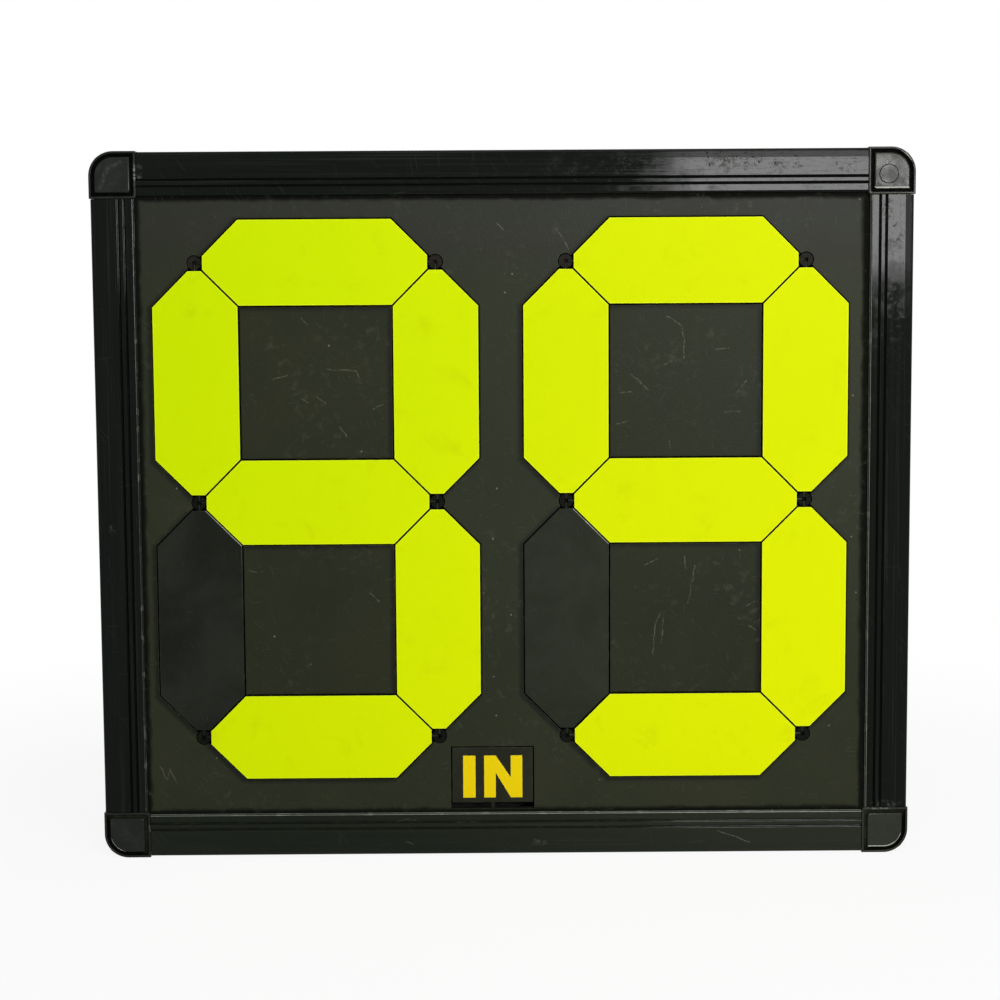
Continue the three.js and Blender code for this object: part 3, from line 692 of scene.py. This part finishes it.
# Painted reflection: the bottom rail's coat is painted lighter than the other rails', and lighter still
# towards the right of the board.
BOTTOM_COAT = make_rail_coat(
    "coat on the bottom rail", (1, 0, 0), (0, 0, 1),
    (((20, 8), (8, 3)), ((-60, 22), (9, 2))),
    ((131.6, 14.7, 152.3, 6.9), (-30, 21.4, -18, 21.1), (-62, 9, -58, 7.2)),
    (),
    shade(18, 23, 15), shade(24, 29, 20), shade(37, 41, 32))
UPRIGHT_COAT = make_rail_coat(
    "coat on upright rails", (0, 0, 1), (1, 0, 0),
    (((237, 31), (12, 3)), ((-241, 206), (3, 4)), ((240, 380), (4, 6)), ((233, 396), (5, 9))),
    (),
    ((237.3, 388.2, 239.1, 390.6),),
    *COAT_SHADES)
CAP_PLASTIC = make_cap_plastic((
    ((-222.5, 422), (1.5, 10)), ((232, 28.1), (11, 1.2)), ((-222.3, 17.5), (1.2, 4)),
), (
    (-243, 413.9, -241, 421.6), (-241, 421.6, -237.9, 425.8), (-237.9, 425.8, -231.4, 429.3),
))
# Painted highlights on rounded edges of the caps and rails.
CAP_EDGE_HIGHLIGHT = make_worn_and_highlit_edge(
    "painted highlight on the lower edge of a cap", shade(170, 173, 162), shade(236, 239, 228), 0.25, 0.4)
RAIL_EDGE_HIGHLIGHT = make_worn_and_highlit_edge(
    "painted highlight on the inner edge of a rail", shade(92, 96, 86), shade(132, 136, 124), 0.25, 0.4)
LEFT_RAIL_EDGE_HIGHLIGHT = make_worn_and_highlit_edge(
    "painted highlight on the edge of the left rail", shade(34, 37, 31), shade(100, 103, 94), 0.25, 0.3)
# Painted shade for grooves and moats: near black, paler on the bottom rail and the lower caps.
RECESS_SHADE = make_recess_shade("painted shade in a recess", False)
PALER_RECESS_SHADE = make_recess_shade("paler painted shade in a recess", True)
CASE_PLASTIC = make_case_plastic("case plastic", shade(27, 28, 25), shade(40, 41, 37), 0.3)
BEARING_PLASTIC = make_bearing_plastic()
SCREW_STEEL = make_screw_steel()


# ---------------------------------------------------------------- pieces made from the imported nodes

def finished_mesh(shape, name, materials):
    mesh = bpy.data.meshes.new(name)
    shape.to_mesh(mesh)
    shape.free()
    for material in materials:
        mesh.materials.append(material)
    piece = bpy.data.objects.new(name, mesh)
    bpy.context.scene.collection.objects.link(piece)
    return piece


def stand_for(shape, node, materials, body):
    """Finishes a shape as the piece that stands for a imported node."""
    piece = finished_mesh(shape, f"{node}_finished", materials)
    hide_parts(node)
    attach(piece, body)


def shade_by_angle(shape, degrees, largest=1000):
    """Smooth shading over the small steps of round faces; every other edge stays crisp.

    Faces larger than a square of the given size in millimetres count as flat and keep their own direction.
    """
    shape.normal_update()
    for face in shape.faces:
        face.smooth = True
    for edge in shape.edges:
        flat = any(face.calc_area() > (largest * MM) ** 2 for face in edge.link_faces)
        limit = min(degrees, 5) if flat else degrees
        edge.smooth = len(edge.link_faces) == 2 and edge.calc_face_angle(0) < math.radians(limit)


def copy_of(node):
    """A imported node's mesh with its triangles joined up and its flat faces whole again."""
    shape = bmesh.new()
    shape.from_mesh(nodes[node].data)
    bmesh.ops.remove_doubles(shape, verts=shape.verts[:], dist=2e-6)
    bmesh.ops.dissolve_limit(
        shape, angle_limit=math.radians(0.6), use_dissolve_boundaries=False,
        verts=shape.verts[:], edges=shape.edges[:], delimit=set(),
    )
    return shape


def rounded_edges(shape, edges, radius, segments, clamped=True, affect="EDGES"):
    """Rounds edges, or corners where affect says so; returns the new faces."""
    made = bmesh.ops.bevel(
        shape, geom=edges, offset=radius, offset_type="OFFSET", segments=segments, profile=0.5,
        affect=affect, material=-1, clamp_overlap=clamped,
    )
    shape.normal_update()
    return made["faces"]


def softened(node, radius, chosen, materials, body, segments=2, round_steps=20, recess=None, wear_and_highlight=None):
    """A copy of a node with its chosen sharp edges rounded.

    The second material goes on the rounded edges, or on the faces of a recess where one is given. The third
    goes on the rounded edges that the given test picks; on the rails and flaps it is a painted highlight.
    """
    shape = copy_of(node)
    if recess:
        for face in shape.faces:
            face.material_index = int(recess(face))
    sharp = [
        edge for edge in shape.edges
        if len(edge.link_faces) == 2 and edge.calc_face_angle(0) > SHARP_EDGE and chosen(edge)
    ]
    for face in rounded_edges(shape, sharp, radius, segments):
        face.material_index = 1 if len(materials) > 1 and not recess else 0
        if wear_and_highlight and wear_and_highlight(face):
            face.material_index = 2
    shade_by_angle(shape, round_steps)
    stand_for(shape, node, materials, body)


def at_depth(edge, depth):
    return all(abs(vert.co.y - depth) < DEPTH_SLACK for vert in edge.verts)


def runs_along_rail(edge):
    return edge.calc_length() > LONG_EDGE


def reaches_between(face, depths):
    return depths[0] < max(vert.co.y for vert in face.verts) < depths[1]


def in_cap_moat(face):
    return reaches_between(face, MOAT_DEPTHS)


def in_rail_groove(face):
    return reaches_between(face, GROOVE_DEPTHS) and face.calc_area() > SMALLEST_GROOVE


def on_panel_face(edge):
    return at_depth(edge, PANEL_FACE)


def on_flap_face(edge):
    return at_depth(edge, FLAP_AXIS - HALF_PLATE) or at_depth(edge, FLAP_AXIS + HALF_PLATE)


def is_highlit_side(face):
    """The slanted edge at the upper right of a plate's front, where a highlight is painted."""
    middle = face.calc_center_median()
    return face.normal.x > 0.2 and face.normal.z > 0.2 and face.normal.y < -0.2 and middle.y < FLAP_AXIS


def on_badge_face(edge):
    return at_depth(edge, BADGE_FRONT) or at_depth(edge, BADGE_BACK)


SCREWS = tuple(
    [(across, up) for up in (9.5, 426.5) for across in (-177, -59, 59, 177)]
    + [(across, up) for across in (-241, 241) for up in (73.5, 218, 362.5)]
    + [(across, up) for across in (-114.6, 111.6) for up in (148.45, 295.15)]
)


def on_cover_outline(edge):
    middle = (edge.verts[0].co + edge.verts[1].co) / 2
    clear = all(math.hypot(middle.x - x * MM, middle.z - z * MM) > 6 * MM for x, z in SCREWS)
    return clear and at_depth(edge, COVER_BACK)


def is_inner_rail_edge(face):
    """The rounded edge of a lower or upright rail that looks at the panel."""
    middle = face.calc_center_median()
    beside = face.normal.x * middle.x < 0 and abs(face.normal.x) > 0.3 and abs(middle.x) < INNER_EDGE_ACROSS
    return beside or face.normal.z > 0.3 and INNER_EDGE_UP[0] < middle.z < INNER_EDGE_UP[1]


# Each rail: its coat, painted shade in its grooves, and a painted highlight on its inner rounded edge.
for side, coated in (
    ("left", [UPRIGHT_COAT, RECESS_SHADE, LEFT_RAIL_EDGE_HIGHLIGHT]), ("right", [UPRIGHT_COAT, RECESS_SHADE, RAIL_EDGE_HIGHLIGHT]),
    ("top", [TOP_COAT, RECESS_SHADE, RAIL_EDGE_HIGHLIGHT]), ("bottom", [BOTTOM_COAT, PALER_RECESS_SHADE, RAIL_EDGE_HIGHLIGHT]),
):
    softened(f"rail_{side}", 0.3 * MM, runs_along_rail, coated, "board",
             segments=3, round_steps=5, recess=in_rail_groove, wear_and_highlight=is_inner_rail_edge)


def cap_edges(shape):
    """The sharp edges of a cap: those of its raised pad, the others on its front, and those at its back."""
    front = [vert.co for vert in shape.verts if abs(vert.co.y - CAP_FACE) < DEPTH_SLACK]
    low = Vector((min(co.x for co in front), 0, min(co.z for co in front)))
    high = Vector((max(co.x for co in front), 0, max(co.z for co in front)))
    mark = Vector((ROUND_MARK[0] * MM, CAP_FACE, ROUND_MARK[1] * MM))
    pad, rim, back = [], [], []
    for edge in shape.edges:
        if edge.calc_face_angle(0) < SHARP_EDGE:
            continue
        middle = (edge.verts[0].co + edge.verts[1].co) / 2
        inside = min(middle.x - low.x, high.x - middle.x, middle.z - low.z, high.z - middle.z)
        if all(vert.co.y > 19 * MM for vert in edge.verts):
            back.append(edge)
        elif at_depth(edge, CAP_FACE) and (middle - mark).length > 7 * MM:
            (pad if inside > 3 * MM else rim).append(edge)
    return pad, rim, back


def finished_cap(corner):
    """A corner cap with its back, its rim and then its raised pad rounded, painted shade in its moat, and a
    painted highlight on the pad's lower rounded edge of the right caps and at the lower left of the bottom
    left cap.
    """
    shape = copy_of(f"cap_{corner}")
    for face in shape.faces:
        face.material_index = int(in_cap_moat(face))
    for part, radius, segments, clamped in ((2, 0.3, 2, True), (1, 0.45, 3, False), (0, 0.9, 4, False)):
        rounded = rounded_edges(shape, cap_edges(shape)[part], radius * MM, segments, clamped)
        for face in rounded:
            face.material_index = 0
    # Painted highlight: near white on the pad's rounded edges that face down and forward.
    for face in rounded:
        lit = face.normal.z < -0.15 and face.normal.y < -0.1
        if lit and (corner.endswith("right") or corner == "bottom_left" and face.normal.x < -0.2):
            face.material_index = 2
    shade_by_angle(shape, 24, 8)
    recess = PALER_RECESS_SHADE if corner.startswith("bottom") else RECESS_SHADE
    stand_for(shape, f"cap_{corner}", [CAP_PLASTIC, recess, CAP_EDGE_HIGHLIGHT], "board")


for corner in ("bottom_left", "top_left", "top_right", "bottom_right"):
    finished_cap(corner)

# The rounded window edges of the panel and tiles get the rubbed edge with its painted highlight.
softened("front_panel", 0.35 * MM, on_panel_face, [PANEL_PLASTIC, PANEL_EDGE_WORN_AND_HIGHLIT], "board")
for tile, marks in TILE_MARKS.items():
    plastic = make_panel_plastic(f"{tile} tile plastic", marks, shade(28, 32, 17), shade(34, 37, 21))
    softened(f"{tile}_tile", 0.35 * MM, on_panel_face, [plastic, PANEL_EDGE_WORN_AND_HIGHLIT], "board")
softened("rear_cover", 0.4 * MM, on_cover_outline, [CASE_PLASTIC], "board")

FLAPS = [
    f"{digit}_{name}" for digit in ("tens", "units")
    for name in ("top", "upper_left", "upper_right", "middle", "lower_left", "lower_right", "bottom")
]


def edged_film(flap):
    """The film on a flap, with a narrow paler line round its outer face where it was cut."""
    shape = copy_of(f"{flap}_film")
    outward = 1 if flap.endswith("lower_left") else -1
    faces = [face for face in shape.faces if face.normal.y * outward > 0.9]
    rim = bmesh.ops.inset_region(
        shape, faces=faces, thickness=0.55 * MM, depth=0.0, use_even_offset=True, use_boundary=True,
    )
    for face in rim["faces"]:
        face.material_index = 1
    stand_for(shape, f"{flap}_film", [BRIGHT_FILM, FILM_EDGE], f"{flap}_flap")


# On the lower left plates the slanted upper right edge of the front gets a painted highlight.
for flap in FLAPS:
    softened(f"{flap}_plate", 0.4 * MM, on_flap_face, [FLAP_PLASTIC, FLAP_EDGE, FLAP_EDGE_HIGHLIGHT], f"{flap}_flap",
             wear_and_highlight=is_highlit_side if flap.endswith("lower_left") else None)
    edged_film(flap)
# The badge's rounded edges take the paler panel edge: painted light that softens the dark line of the gap
# round it.
softened("badge_plate", 0.3 * MM, on_badge_face, [BADGE_PLASTIC, PANEL_EDGE_WORN_AND_HIGHLIT], "badge")

# The posts take the near black bearing plastic: painted shade in their holes.
for name, node in nodes.items():
    if name.endswith(("_post", "_pedestal", "_spacer")):
        node.data.materials.clear()
        node.data.materials.append(BEARING_PLASTIC if name.endswith("_post") else CASE_PLASTIC)


# ---------------------------------------------------------------- letters on the badge

FRONT_BOTTOM, FRONT_TOP = 35.8, 62.4
BACK_BOTTOM, BACK_TOP = 37.6, 60.6
LETTER_GAP = 0.02 * MM
LETTER_THICKNESS = 0.22 * MM
RING_STROKE = 4.4 * MM
RING_CORNER = 3 * MM
RING_LEFT, RING_RIGHT = -31.2, -18.2
BAR = 4.6


def parts_of(made, kind):
    """The new vertices or edges that an operator gave back."""
    return [item for item in made["geom"] if isinstance(item, kind)]


def drawn_letter(points, depth, thickness):
    """One flat letter from its corners across and up, in millimetres, given its thickness along Y."""
    shape = bmesh.new()
    corners = [shape.verts.new((across * MM, depth, up * MM)) for across, up in points]
    face = shape.faces.new(corners)
    pulled = bmesh.ops.extrude_face_region(shape, geom=[face])
    bmesh.ops.translate(shape, verts=parts_of(pulled, bmesh.types.BMVert), vec=(0, thickness, 0))
    return shape


def place_letter(shape, name):
    bmesh.ops.recalc_face_normals(shape, faces=shape.faces[:])
    rims = [edge for edge in shape.edges if edge.calc_face_angle(0) > SHARP_EDGE
            and abs(edge.verts[0].co.y - edge.verts[1].co.y) < 1e-6]
    for face in rounded_edges(shape, rims, 0.08 * MM, 1):
        face.material_index = 1
    piece = finished_mesh(shape, name, [LETTER_FILM, LETTER_EDGE])
    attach(piece, "badge")


def front_letters():
    low, high = FRONT_BOTTOM, FRONT_TOP
    upright = [(-26.7, low), (-19.0, low), (-19.0, high), (-26.7, high)]
    left, right, leg = -13.6, 10.2, 7.2
    slanted = [
        (left, low), (left + leg, low), (left + leg, 51.5), (right - leg, low), (right, low), (right, high),
        (right - leg, high), (right - leg, 48.5), (left + leg, high), (left, high),
    ]
    for number, points in enumerate((upright, slanted), start=1):
        letter = drawn_letter(points, BADGE_FRONT - LETTER_GAP, -LETTER_THICKNESS)
        place_letter(letter, f"badge_front_letter_{number}")


def back_letters():
    """The opposite word, read from the front once the badge has turned, so it lies mirrored at rest."""
    low, high = BACK_BOTTOM, BACK_TOP
    depth = BADGE_BACK + LETTER_GAP

    def mirrored(points):
        return [(2 * BADGE_MIDDLE - across, up) for across, up in points]

    ring = bmesh.new()
    corners = mirrored([(RING_LEFT, low), (RING_RIGHT, low), (RING_RIGHT, high), (RING_LEFT, high)])
    outer = [ring.verts.new((across * MM, depth, up * MM)) for across, up in corners]
    ring.faces.new(outer)
    rounded_edges(ring, outer, RING_CORNER, 3, affect="VERTICES")
    bmesh.ops.inset_region(
        ring, faces=ring.faces[:], thickness=RING_STROKE, use_even_offset=True, use_boundary=True)
    across, up = mirrored([((RING_LEFT + RING_RIGHT) / 2, (low + high) / 2)])[0]
    middle = Vector((across * MM, BADGE_BACK, up * MM))
    inner = min(ring.faces, key=lambda part: (part.calc_center_median() - middle).length)
    bmesh.ops.delete(ring, geom=[inner], context="FACES")
    pulled = bmesh.ops.extrude_face_region(ring, geom=ring.faces[:])
    bmesh.ops.translate(ring, verts=parts_of(pulled, bmesh.types.BMVert), vec=(0, LETTER_THICKNESS, 0))
    place_letter(ring, "badge_back_letter_1")

    cup = [
        (-15.4, high), (-15.4, low + 3.2), (-12.2, low), (-5.8, low), (-2.6, low + 3.2), (-2.6, high),
        (-7.0, high), (-7.0, low + BAR), (-11.0, low + BAR), (-11.0, high),
    ]
    tee = [
        (0.2, high), (0.2, high - BAR), (5.0, high - BAR), (5.0, low), (9.6, low), (9.6, high - BAR),
        (14.4, high - BAR), (14.4, high),
    ]
    for number, points in enumerate((cup, tee), start=2):
        place_letter(drawn_letter(mirrored(points), depth, LETTER_THICKNESS), f"badge_back_letter_{number}")


front_letters()
back_letters()


# ---------------------------------------------------------------- screws of the rear cover

HEAD_RADIUS, HEAD_DEPTH = 3.3 * MM, 1.5 * MM
STEM_LENGTH = 3 * MM
CROSS_REACH, HALF_CROSS_WIDTH, CROSS_DEPTH = 1.75 * MM, 0.42 * MM, 1.1 * MM
HEAD_SUNK = 0.05 * MM
TURN_EACH = 1.13


def pulled_down(shape, edges, depth, share=None):
    """Walls pulled down from edges and drawn in to a share of their width; returns their foot."""
    made = bmesh.ops.extrude_edge_only(shape, edges=edges)
    foot = parts_of(made, bmesh.types.BMVert)
    bmesh.ops.translate(shape, verts=foot, vec=(0, 0, -depth))
    if share:
        bmesh.ops.scale(shape, verts=foot, vec=(share, share, 1))
    return [edge for edge in parts_of(made, bmesh.types.BMEdge) if all(vert in foot for vert in edge.verts)]


def cross_screw(name, across, up, turn):
    """A countersunk screw with a cross recess, its head level with the cover's outside."""
    shape = bmesh.new()
    bmesh.ops.create_circle(shape, cap_ends=False, radius=HEAD_RADIUS, segments=24)
    rim_edges = shape.edges[:]
    wide, slim = CROSS_REACH, HALF_CROSS_WIDTH
    corners = []
    for quarter in range(4):
        spin = Matrix.Rotation(quarter * math.pi / 2, 3, "Z")
        for point in ((wide, -slim), (wide, slim), (slim, slim)):
            corners.append(shape.verts.new(spin @ Vector((*point, 0))))
    cross_edges = [shape.edges.new((corners[i], corners[(i + 1) % 12])) for i in range(12)]
    bmesh.ops.triangle_fill(shape, use_beauty=True, use_dissolve=False, edges=rim_edges + cross_edges)
    neck = pulled_down(shape, rim_edges, HEAD_DEPTH, 0.5)
    bmesh.ops.contextual_create(shape, geom=pulled_down(shape, neck, STEM_LENGTH))
    bmesh.ops.contextual_create(shape, geom=pulled_down(shape, cross_edges, CROSS_DEPTH, 0.55))
    bmesh.ops.recalc_face_normals(shape, faces=shape.faces[:])
    # The head's outward direction, +Z as drawn, becomes the back of the board.
    place = Matrix.Translation((across * MM, COVER_BACK - HEAD_SUNK, up * MM))
    face_back = Matrix.Rotation(-math.pi / 2, 4, "X")
    bmesh.ops.transform(
        shape, matrix=place @ face_back @ Matrix.Rotation(turn, 4, "Z"), verts=shape.verts[:])
    piece = finished_mesh(shape, name, [SCREW_STEEL])
    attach(piece, "board")


for number, (across, up) in enumerate(SCREWS, start=1):
    cross_screw(f"cover_screw_{number}", across, up, number * TURN_EACH)


# ---------------------------------------------------------------- studio

def seen_directly(tree):
    """1 where the camera, a reflection or a view through something sees a surface, 0 for its light."""
    ray = tree.nodes.new("ShaderNodeLightPath").outputs
    return gathered(tree, "MAXIMUM", ray["Is Camera Ray"], ray["Is Glossy Ray"], ray["Is Transmission Ray"])


def make_floor():
    """A pale floor that is seen white, apart from the shadow and a little grey close to the board."""
    shape = bmesh.new()
    bmesh.ops.create_grid(shape, x_segments=1, y_segments=1, size=12)
    material = bpy.data.materials.new("pale floor")
    material.use_nodes = True
    tree = material.node_tree
    shader = tree.nodes["Principled BSDF"]
    shader.inputs["Base Color"].default_value = shade(236, 236, 236)
    shader.inputs["Roughness"].default_value = 0.9
    shader.inputs["Specular IOR Level"].default_value = 0.0
    glow = put(tree, "ShaderNodeEmission", {"Color": (1, 1, 1, 1), "Strength": 1.0})
    direct = seen_directly(tree)
    place = tree.nodes.new("ShaderNodeTexCoord").outputs["Object"]
    away = vector_maths(tree, "LENGTH", place)
    whiteness = ramp(tree, away, 0.25, 0.9, 0.9, 1, smooth=True)
    mix = put(tree, "ShaderNodeMixShader", {
        0: maths(tree, "MULTIPLY", direct, whiteness), 1: shader.outputs[0], 2: glow.outputs[0],
    })
    tree.links.new(mix.outputs[0], tree.nodes["Material Output"].inputs["Surface"])
    floor = finished_mesh(shape, "studio_floor", [material])


def make_world():
    world = bpy.data.worlds.new("studio")
    world.use_nodes = True
    tree = world.node_tree
    dim = tree.nodes["Background"]
    dim.inputs["Color"].default_value = (0.96, 0.98, 1, 1)
    dim.inputs["Strength"].default_value = 0.25
    white = put(tree, "ShaderNodeBackground", {"Color": (1, 1, 1, 1), "Strength": 1.0})
    direct = seen_directly(tree)
    mix = put(tree, "ShaderNodeMixShader", {0: direct, 1: dim.outputs[0], 2: white.outputs[0]})
    tree.links.new(mix.outputs[0], tree.nodes["World Output"].inputs["Surface"])
    bpy.context.scene.world = world


def soft_lamp(name, place, aim, width, height, brightness):
    """A white oblong softbox; brightness is how bright its face looks next to white."""
    lamp = bpy.data.lights.new(name, "AREA")
    lamp.shape = "RECTANGLE"
    lamp.size = width
    lamp.size_y = height
    lamp.energy = brightness * math.pi * width * height
    holder = bpy.data.objects.new(name, lamp)
    bpy.context.scene.collection.objects.link(holder)
    direction = Vector(aim) - Vector(place)
    turn = direction.to_track_quat("-Z", "Y").to_matrix().to_4x4()
    holder.matrix_world = Matrix.Translation(place) @ turn


make_floor()
make_world()
soft_lamp("front_softbox", (0.44, -1.54, 0.495), (0.05, 0, 0.3), 0.4, 0.22, 32)
soft_lamp("upper_softbox", (0.44, -1.5, 0.94), (0.05, 0, 0.3), 0.38, 0.5, 10)
soft_lamp("side_softbox", (1.15, -1.3, 0.74), (0.0, 0, 0.2), 0.6, 0.74, 4.5)
soft_lamp("overhead_softbox", (0.14, -0.75, 1.5), (0.05, 0, 0.2), 0.6, 0.4, 5)

bpy.context.scene.view_settings.view_transform = "Standard"
